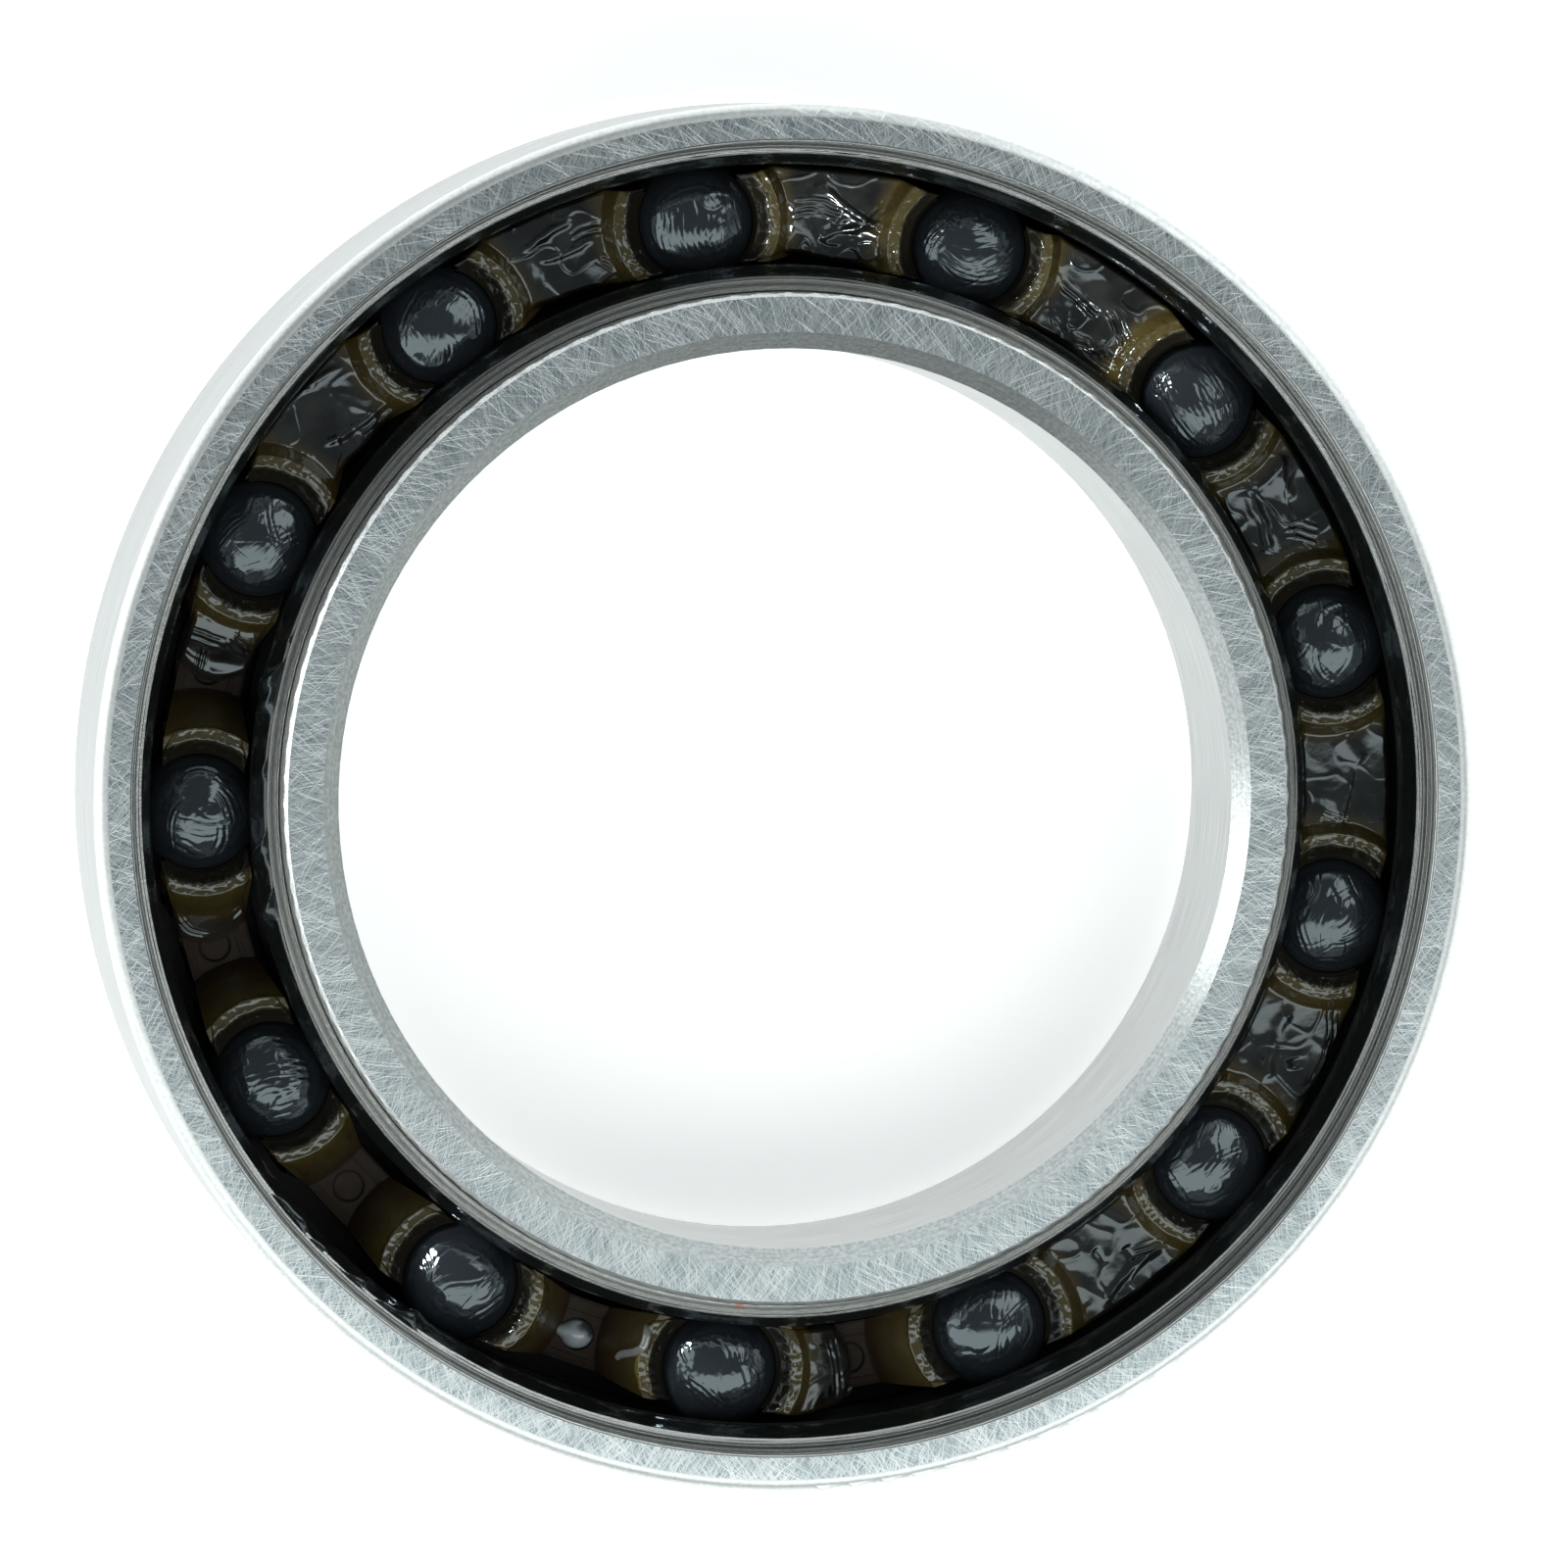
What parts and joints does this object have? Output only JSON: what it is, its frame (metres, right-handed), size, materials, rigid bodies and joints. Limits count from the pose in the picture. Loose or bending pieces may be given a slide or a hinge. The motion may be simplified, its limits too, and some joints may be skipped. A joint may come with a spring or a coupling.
{
  "type": "hybrid ceramic ball bearing",
  "caption": "Thin-section deep-groove bearing: two steel rings, black ceramic balls in a one-piece snap-in cage, a rubber seal at the rear and the front seal taken off.",
  "frame": {"origin": "centre of the ring of balls, half way between the two faces, on the axis of rotation", "axes": "+Z along the axis of rotation, towards the open side with no seal; +X to the right of the picture"},
  "size_m": [0.037, 0.037, 0.007],
  "materials": {
    "ring_steel": "ground faces, turned seal seats, fine scratches",
    "ball_ceramic": "polished black silicon nitride, filmed with grease",
    "cage_polymer": "moulded amber-brown polyamide, wet with grease",
    "seal_rubber": "matt black nitrile rubber",
    "insert_steel": "pressed steel, covered by rubber",
    "grease": "wet, translucent amber-grey bearing grease"
  },
  "bodies": {
    "outer_assembly": {"outer_ring": "ring_steel", "rear_seal": "seal_rubber", "rear_seal_insert": "insert_steel"},
    "inner_ring": {"inner_ring": "ring_steel"},
    "cage": {"cage": "cage_polymer"},
    "ball_01": {"ball_01": "ball_ceramic"},
    "ball_02": {"ball_02": "ball_ceramic"},
    "ball_03": {"ball_03": "ball_ceramic"},
    "ball_04": {"ball_04": "ball_ceramic"},
    "ball_05": {"ball_05": "ball_ceramic"},
    "ball_06": {"ball_06": "ball_ceramic"},
    "ball_07": {"ball_07": "ball_ceramic"},
    "ball_08": {"ball_08": "ball_ceramic"},
    "ball_09": {"ball_09": "ball_ceramic"},
    "ball_10": {"ball_10": "ball_ceramic"},
    "ball_11": {"ball_11": "ball_ceramic"},
    "ball_12": {"ball_12": "ball_ceramic"},
    "ball_13": {"ball_13": "ball_ceramic"}
  },
  "joints": [
    {"name": "inner_spin", "type": "hinge", "parent": "outer_assembly", "child": "inner_ring", "pos_m": [0, 0, 0], "axis": [0, 0, 1], "continuous": true},
    {"name": "cage_spin", "type": "hinge", "parent": "outer_assembly", "child": "cage", "pos_m": [0, 0, 0], "axis": [0, 0, 1], "continuous": true},
    {"name": "ball_01_spin", "type": "hinge", "parent": "cage", "child": "ball_01", "pos_m": [0.01497, 0.00401, 0], "axis": [0, 0, 1], "continuous": true},
    {"name": "ball_02_spin", "type": "hinge", "parent": "cage", "child": "ball_02", "pos_m": [0.01139, 0.01051, 0], "axis": [0, 0, 1], "continuous": true},
    {"name": "ball_03_spin", "type": "hinge", "parent": "cage", "child": "ball_03", "pos_m": [0.0052, 0.0146, 0], "axis": [0, 0, 1], "continuous": true},
    {"name": "ball_04_spin", "type": "hinge", "parent": "cage", "child": "ball_04", "pos_m": [-0.00218, 0.01535, 0], "axis": [0, 0, 1], "continuous": true},
    {"name": "ball_05_spin", "type": "hinge", "parent": "cage", "child": "ball_05", "pos_m": [-0.00906, 0.01258, 0], "axis": [0, 0, 1], "continuous": true},
    {"name": "ball_06_spin", "type": "hinge", "parent": "cage", "child": "ball_06", "pos_m": [-0.01387, 0.00693, 0], "axis": [0, 0, 1], "continuous": true},
    {"name": "ball_07_spin", "type": "hinge", "parent": "cage", "child": "ball_07", "pos_m": [-0.0155, -0.00031, 0], "axis": [0, 0, 1], "continuous": true},
    {"name": "ball_08_spin", "type": "hinge", "parent": "cage", "child": "ball_08", "pos_m": [-0.01358, -0.00748, 0], "axis": [0, 0, 1], "continuous": true},
    {"name": "ball_09_spin", "type": "hinge", "parent": "cage", "child": "ball_09", "pos_m": [-0.00855, -0.01293, 0], "axis": [0, 0, 1], "continuous": true},
    {"name": "ball_10_spin", "type": "hinge", "parent": "cage", "child": "ball_10", "pos_m": [-0.00156, -0.01542, 0], "axis": [0, 0, 1], "continuous": true},
    {"name": "ball_11_spin", "type": "hinge", "parent": "cage", "child": "ball_11", "pos_m": [0.00579, -0.01438, 0], "axis": [0, 0, 1], "continuous": true},
    {"name": "ball_12_spin", "type": "hinge", "parent": "cage", "child": "ball_12", "pos_m": [0.01181, -0.01004, 0], "axis": [0, 0, 1], "continuous": true},
    {"name": "ball_13_spin", "type": "hinge", "parent": "cage", "child": "ball_13", "pos_m": [0.01512, -0.00341, 0], "axis": [0, 0, 1], "continuous": true}
  ],
  "couplings": [
    {"joint": "cage_spin", "follows": "inner_spin", "ratio": 0.44355},
    {"joint": "ball_01_spin", "follows": "inner_spin", "ratio": -4.3721},
    {"joint": "ball_02_spin", "follows": "inner_spin", "ratio": -4.3721},
    {"joint": "ball_03_spin", "follows": "inner_spin", "ratio": -4.3721},
    {"joint": "ball_04_spin", "follows": "inner_spin", "ratio": -4.3721},
    {"joint": "ball_05_spin", "follows": "inner_spin", "ratio": -4.3721},
    {"joint": "ball_06_spin", "follows": "inner_spin", "ratio": -4.3721},
    {"joint": "ball_07_spin", "follows": "inner_spin", "ratio": -4.3721},
    {"joint": "ball_08_spin", "follows": "inner_spin", "ratio": -4.3721},
    {"joint": "ball_09_spin", "follows": "inner_spin", "ratio": -4.3721},
    {"joint": "ball_10_spin", "follows": "inner_spin", "ratio": -4.3721},
    {"joint": "ball_11_spin", "follows": "inner_spin", "ratio": -4.3721},
    {"joint": "ball_12_spin", "follows": "inner_spin", "ratio": -4.3721},
    {"joint": "ball_13_spin", "follows": "inner_spin", "ratio": -4.3721}
  ]
}
